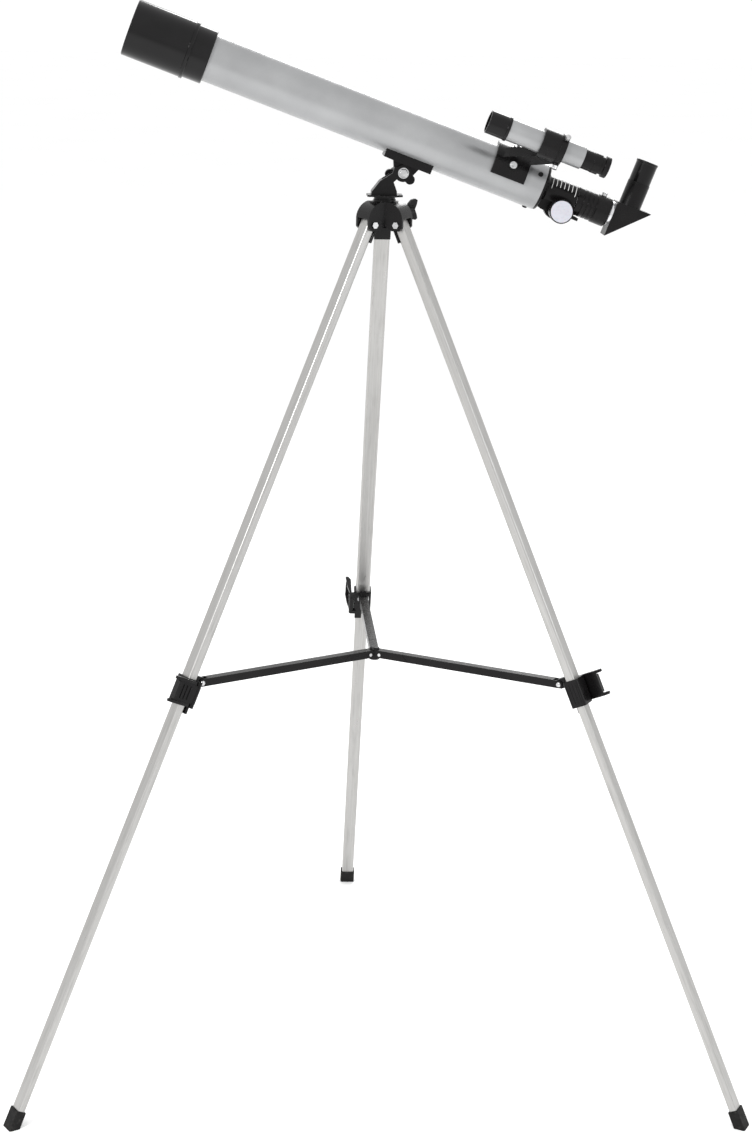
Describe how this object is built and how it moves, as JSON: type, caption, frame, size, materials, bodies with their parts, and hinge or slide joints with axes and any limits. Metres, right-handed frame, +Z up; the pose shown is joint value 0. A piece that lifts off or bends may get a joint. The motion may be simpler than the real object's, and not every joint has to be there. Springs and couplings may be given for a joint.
{
  "type": "telescope on tripod",
  "caption": "Small refracting telescope with a finder and a star diagonal on a folding aluminium tripod with a hinged spreader.",
  "frame": {"origin": "on the floor, in the middle of the tripod's and telescope's bounding box", "axes": "+Z up; +Y towards the rear leg; at rest the tube lies in the XZ plane with its front towards -X and raised"},
  "size_m": [0.893, 0.7738, 1.3025],
  "materials": {
    "silver_paint": "satin silver-grey paint with a fine metallic grain",
    "leg_aluminium": "drawn and clear anodised, satin",
    "black_plastic": "moulded, fine spark texture, semi-matt",
    "black_satin": "moulded, smoother and slightly shiny",
    "black_paint": "satin black paint",
    "bright_metal": "bright plating",
    "bolt_steel": "zinc plated",
    "white_cap": "white with a faint lilac cast",
    "foot_rubber": "matt moulded rubber",
    "lens_glass": "polished, coated"
  },
  "bodies": {
    "head": {"tripod_head": "black_plastic", "hinge_bolts": "bolt_steel"},
    "azimuth_knob": {"azimuth_knob": "black_plastic"},
    "turning_head": {"yoke": "black_plastic", "azimuth_bolt": "bolt_steel", "altitude_bolt": "bolt_steel"},
    "altitude_knob": {"altitude_knob": "black_plastic"},
    "optical_tube": {"main_tube": "silver_paint", "dew_shield": "black_satin", "lens_cell": "black_satin", "objective_lens": "lens_glass", "lens_ring": "black_paint", "baffles": "black_paint", "focuser_housing": "black_plastic", "tube_screws": "black_paint", "tube_saddle": "black_plastic", "finder_bracket": "black_plastic", "bracket_nuts": "bolt_steel", "finder_tube": "silver_paint", "finder_hood": "black_satin", "finder_lens": "lens_glass"},
    "finder_eyepiece": {"finder_eyepiece": "black_plastic", "finder_eye_lens": "lens_glass"},
    "finder_screw_1": {"finder_screw_1": "bolt_steel"},
    "finder_screw_2": {"finder_screw_2": "bolt_steel"},
    "finder_screw_3": {"finder_screw_3": "bolt_steel"},
    "drawtube": {"drawtube": "bright_metal", "eyepiece_holder": "black_plastic"},
    "holder_screw": {"holder_screw": "bolt_steel"},
    "focus_knob": {"focus_shaft": "bolt_steel", "focus_knobs": "black_plastic", "knob_caps": "white_cap"},
    "diagonal": {"diagonal_body": "black_plastic", "diagonal_prism": "lens_glass", "diagonal_barrel": "bright_metal"},
    "eyepiece": {"eyepiece_body": "black_satin", "eyepiece_lenses": "lens_glass"},
    "spreader_centre": {"spreader_centre": "black_plastic", "centre_rivets": "bolt_steel"},
    "leg_1": {"upper_leg_1": "leg_aluminium", "leg_plug_1": "black_plastic", "clamp_collar_1": "black_plastic"},
    "lower_leg_1": {"lower_leg_1": "leg_aluminium", "foot_1": "foot_rubber"},
    "clamp_lever_1": {"clamp_lever_1": "black_plastic"},
    "spreader_arm_1": {"spreader_arm_1": "black_plastic"},
    "leg_2": {"upper_leg_2": "leg_aluminium", "leg_plug_2": "black_plastic", "clamp_collar_2": "black_plastic"},
    "lower_leg_2": {"lower_leg_2": "leg_aluminium", "foot_2": "foot_rubber"},
    "clamp_lever_2": {"clamp_lever_2": "black_plastic"},
    "spreader_arm_2": {"spreader_arm_2": "black_plastic"},
    "leg_3": {"upper_leg_3": "leg_aluminium", "leg_plug_3": "black_plastic", "clamp_collar_3": "black_plastic"},
    "lower_leg_3": {"lower_leg_3": "leg_aluminium", "foot_3": "foot_rubber"},
    "clamp_lever_3": {"clamp_lever_3": "black_plastic"},
    "spreader_arm_3": {"spreader_arm_3": "black_plastic"}
  },
  "joints": [
    {"name": "pan", "type": "hinge", "parent": "head", "child": "turning_head", "pos_m": [0, -0.12333, 1.079], "axis": [0, 0, 1], "continuous": true},
    {"name": "azimuth_lock", "type": "hinge", "parent": "head", "child": "azimuth_knob", "pos_m": [0.02598, -0.10833, 1.062], "axis": [0.866, 0.5, 0], "range_deg": [0, 360]},
    {"name": "tilt", "type": "hinge", "parent": "turning_head", "child": "optical_tube", "pos_m": [0.021, -0.12333, 1.1072], "axis": [0, 1, 0], "range_deg": [-35, 44]},
    {"name": "altitude_lock", "type": "hinge", "parent": "turning_head", "child": "altitude_knob", "pos_m": [0.021, -0.12333, 1.1072], "axis": [0, 1, 0], "range_deg": [0, 360]},
    {"name": "focus", "type": "slide", "parent": "optical_tube", "child": "drawtube", "axis": [0.9379, 0, -0.3469], "range_m": [0, 0.06]},
    {"name": "focus_turn", "type": "hinge", "parent": "optical_tube", "child": "focus_knob", "pos_m": [0.20671, -0.12333, 1.06591], "axis": [0, 1, 0], "range_deg": [0, 860]},
    {"name": "holder_lock", "type": "hinge", "parent": "drawtube", "child": "holder_screw", "pos_m": [0.25996, -0.12542, 1.08017], "axis": [0.3436, -0.1392, 0.9288], "range_deg": [0, 360]},
    {"name": "diagonal_turn", "type": "hinge", "parent": "drawtube", "child": "diagonal", "pos_m": [0.26982, -0.12333, 1.06069], "axis": [0.9379, 0, -0.3469], "range_deg": [-90, 90]},
    {"name": "eyepiece_slide", "type": "slide", "parent": "diagonal", "child": "eyepiece", "axis": [0.3469, 0, 0.9379], "range_m": [0, 0.022]},
    {"name": "finder_focus", "type": "slide", "parent": "optical_tube", "child": "finder_eyepiece", "axis": [0.9379, 0, -0.3469], "range_m": [0, 0.006]},
    {"name": "finder_align_1", "type": "hinge", "parent": "optical_tube", "child": "finder_screw_1", "pos_m": [0.20514, -0.18697, 1.15247], "axis": [0.2453, -0.7071, 0.6632], "range_deg": [0, 360]},
    {"name": "finder_align_2", "type": "hinge", "parent": "optical_tube", "child": "finder_screw_2", "pos_m": [0.19353, -0.17801, 1.12108], "axis": [-0.3351, -0.2588, -0.9059], "range_deg": [0, 360]},
    {"name": "finder_align_3", "type": "hinge", "parent": "optical_tube", "child": "finder_screw_3", "pos_m": [0.20203, -0.15351, 1.14406], "axis": [0.0898, 0.9659, 0.2427], "range_deg": [0, 360]},
    {"name": "leg_fold_1", "type": "hinge", "parent": "head", "child": "leg_1", "pos_m": [0, -0.10038, 1.047], "axis": [-1, 0, 0], "range_deg": [0, 19.66]},
    {"name": "leg_slide_1", "type": "slide", "parent": "leg_1", "child": "lower_leg_1", "axis": [0, -0.4172, 0.9088], "range_m": [0, 0.45]},
    {"name": "lever_1", "type": "hinge", "parent": "leg_1", "child": "clamp_lever_1", "pos_m": [-0.0152, 0.14043, 0.5045], "axis": [0, -0.4172, 0.9088], "range_deg": [0, 100]},
    {"name": "arm_fold_1", "type": "hinge", "parent": "leg_1", "child": "spreader_arm_1", "pos_m": [0, 0.12487, 0.51441], "axis": [-1, 0, 0], "range_deg": [0, 66.47]},
    {"name": "leg_fold_2", "type": "hinge", "parent": "head", "child": "leg_2", "pos_m": [-0.01988, -0.13481, 1.047], "axis": [0.5, -0.866, 0], "range_deg": [0, 19.66]},
    {"name": "leg_slide_2", "type": "slide", "parent": "leg_2", "child": "lower_leg_2", "axis": [0.3613, 0.2086, 0.9088], "range_m": [0, 0.45]},
    {"name": "lever_2", "type": "hinge", "parent": "leg_2", "child": "clamp_lever_2", "pos_m": [-0.22082, -0.26838, 0.5045], "axis": [0.3613, 0.2086, 0.9088], "range_deg": [0, 100]},
    {"name": "arm_fold_2", "type": "hinge", "parent": "leg_2", "child": "spreader_arm_2", "pos_m": [-0.21495, -0.24744, 0.51441], "axis": [0.5, -0.866, 0], "range_deg": [0, 66.47]},
    {"name": "leg_fold_3", "type": "hinge", "parent": "head", "child": "leg_3", "pos_m": [0.01988, -0.13481, 1.047], "axis": [0.5, 0.866, 0], "range_deg": [0, 19.66]},
    {"name": "leg_slide_3", "type": "slide", "parent": "leg_3", "child": "lower_leg_3", "axis": [-0.3613, 0.2086, 0.9088], "range_m": [0, 0.45]},
    {"name": "lever_3", "type": "hinge", "parent": "leg_3", "child": "clamp_lever_3", "pos_m": [0.23602, -0.24205, 0.5045], "axis": [-0.3613, 0.2086, 0.9088], "range_deg": [0, 100]},
    {"name": "arm_fold_3", "type": "hinge", "parent": "leg_3", "child": "spreader_arm_3", "pos_m": [0.21495, -0.24744, 0.51441], "axis": [0.5, 0.866, 0], "range_deg": [0, 66.47]},
    {"name": "centre_slide", "type": "slide", "parent": "head", "child": "spreader_centre", "axis": [0, 0, -1], "range_m": [0, 0.0815]}
  ],
  "couplings": [
    {"joint": "focus_turn", "follows": "focus", "rad_per_m": 250},
    {"joint": "arm_fold_1", "follows": "leg_fold_1", "ratio": 3.38},
    {"joint": "leg_fold_2", "follows": "leg_fold_1", "ratio": 1},
    {"joint": "arm_fold_2", "follows": "leg_fold_1", "ratio": 3.38},
    {"joint": "leg_fold_3", "follows": "leg_fold_1", "ratio": 1},
    {"joint": "arm_fold_3", "follows": "leg_fold_1", "ratio": 3.38},
    {"joint": "centre_slide", "follows": "leg_fold_1", "m_per_rad": 0.236}
  ]
}
